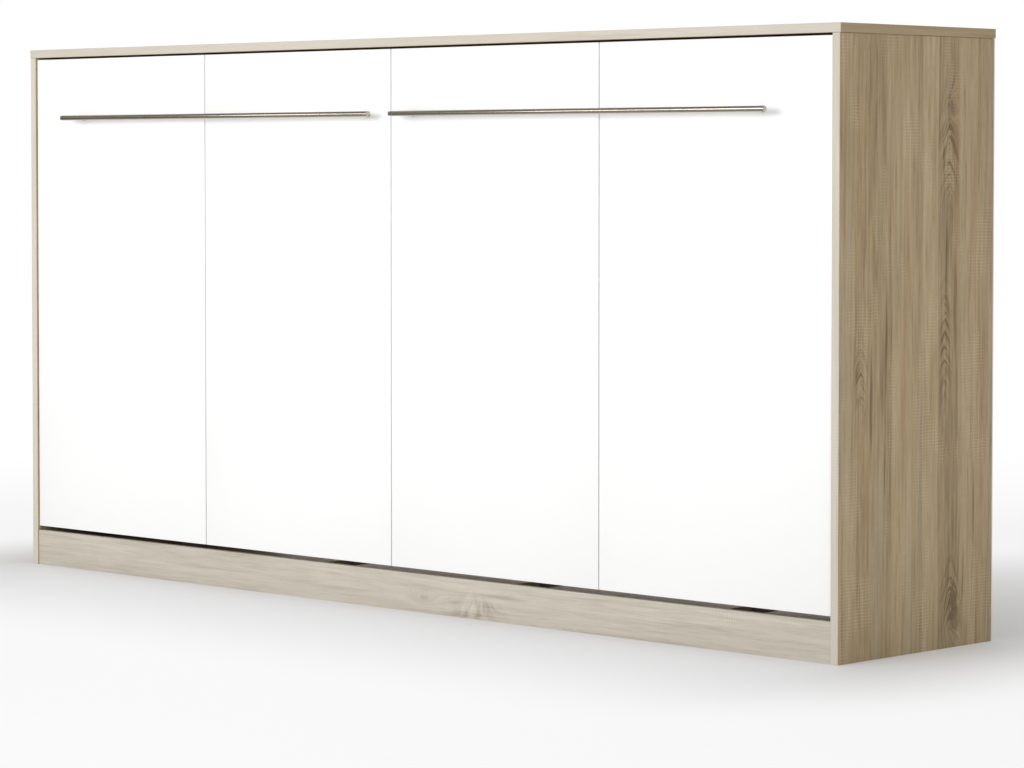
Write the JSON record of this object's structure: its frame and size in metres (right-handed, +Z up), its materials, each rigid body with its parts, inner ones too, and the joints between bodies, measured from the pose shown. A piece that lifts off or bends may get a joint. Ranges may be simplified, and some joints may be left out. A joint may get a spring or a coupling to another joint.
{
  "type": "wall bed",
  "caption": "Horizontal wall bed: a low wood-decor cabinet whose white front folds down to become a single bed on a folding leg bow.",
  "frame": {"origin": "on the floor, under the middle of the closed bed's overall box", "axes": "+Z up, +X along the width towards the right end as seen from the room, +Y from the room towards the wall"},
  "size_m": [2.12, 0.452, 1.05],
  "materials": {
    "oak_board": "melamine-faced chipboard with light sonoma oak grain, matt embossed",
    "white_board": "melamine-faced chipboard, white, satin",
    "back_board": "thin fibreboard, white lacquered inside, matt",
    "white_plastic": "extruded strip, matt",
    "beech": "bent laminated beech, clear lacquer",
    "ticking": "quilted knitted ticking over foam",
    "webbing": "woven polyester webbing",
    "brushed_handle": "brushed, warm nickel tone",
    "zinc_steel": "bright zinc plated sheet steel",
    "silver_paint": "silver powder coat",
    "black_paint": "black enamel",
    "chrome_rod": "polished hard chrome",
    "rubber": "black rubber, matt"
  },
  "bodies": {
    "cabinet": {"side_panel_left": "oak_board", "side_panel_right": "oak_board", "top_panel": "oak_board", "plinth": "oak_board", "base_board": "oak_board", "upper_rear_rail": "oak_board", "lower_rear_rail": "oak_board", "back_joint_strip": "white_plastic", "back_panel_left": "back_board", "back_panel_right": "back_board", "bearing_plate_left": "zinc_steel", "spring_bracket_left": "zinc_steel", "stop_buffer_left": "rubber", "wall_angle_left": "zinc_steel", "bearing_plate_right": "zinc_steel", "spring_bracket_right": "zinc_steel", "stop_buffer_right": "rubber", "wall_angle_right": "zinc_steel"},
    "bed": {"front_panel_1": "white_board", "front_panel_2": "white_board", "front_panel_3": "white_board", "front_panel_4": "white_board", "handle_bar_left": "brushed_handle", "handle_post_left_inner": "brushed_handle", "handle_post_left_outer": "brushed_handle", "handle_bar_right": "brushed_handle", "handle_post_right_inner": "brushed_handle", "handle_post_right_outer": "brushed_handle", "inner_long_rail": "oak_board", "outer_long_rail": "oak_board", "end_rail_left": "oak_board", "end_rail_right": "oak_board", "slat_ledge_inner": "beech", "slat_ledge_outer": "beech", "slat_01": "beech", "slat_02": "beech", "slat_03": "beech", "slat_04": "beech", "slat_05": "beech", "slat_06": "beech", "slat_07": "beech", "slat_08": "beech", "slat_09": "beech", "slat_10": "beech", "slat_11": "beech", "slat_12": "beech", "mattress": "ticking", "mattress_strap_left": "webbing", "mattress_strap_right": "webbing", "hinge_plate_left": "zinc_steel", "hinge_plate_right": "zinc_steel"},
    "leg_bow": {"leg_arm_left": "silver_paint", "leg_arm_right": "silver_paint", "leg_post_left": "silver_paint", "leg_post_right": "silver_paint", "leg_cross_tube": "silver_paint"},
    "spring_cylinder_left": {"gas_cylinder_left": "black_paint"},
    "spring_rod_left": {"gas_rod_left": "chrome_rod"},
    "spring_cylinder_right": {"gas_cylinder_right": "black_paint"},
    "spring_rod_right": {"gas_rod_right": "chrome_rod"}
  },
  "joints": [
    {"name": "bed_fold", "type": "hinge", "parent": "cabinet", "child": "bed", "pos_m": [0, -0.133, 0.25], "axis": [1, 0, 0], "range_deg": [0, 90]},
    {"name": "leg_swing", "type": "hinge", "parent": "bed", "child": "leg_bow", "pos_m": [0, -0.105, 0.76], "axis": [1, 0, 0], "range_deg": [0, 180]},
    {"name": "spring_swing_left", "type": "hinge", "parent": "cabinet", "child": "spring_cylinder_left", "pos_m": [-1.03025, 0.057, 0.38], "axis": [1, 0, 0], "range_deg": [0, 7.32]},
    {"name": "spring_swing_right", "type": "hinge", "parent": "cabinet", "child": "spring_cylinder_right", "pos_m": [1.03025, 0.057, 0.38], "axis": [1, 0, 0], "range_deg": [0, 7.32]},
    {"name": "rod_slide_left", "type": "slide", "parent": "spring_cylinder_left", "child": "spring_rod_left", "axis": [0, 0.7328, 0.6805], "range_m": [0, 0.09132]},
    {"name": "rod_slide_right", "type": "slide", "parent": "spring_cylinder_right", "child": "spring_rod_right", "axis": [0, 0.7328, 0.6805], "range_m": [0, 0.09132]}
  ],
  "couplings": [
    {"joint": "leg_swing", "follows": "bed_fold", "ratio": 2},
    {"joint": "spring_swing_left", "follows": "bed_fold", "ratio": 0.081284},
    {"joint": "spring_swing_right", "follows": "bed_fold", "ratio": 0.081284},
    {"joint": "rod_slide_left", "follows": "bed_fold", "m_per_rad": 0.058135},
    {"joint": "rod_slide_right", "follows": "bed_fold", "m_per_rad": 0.058135}
  ]
}
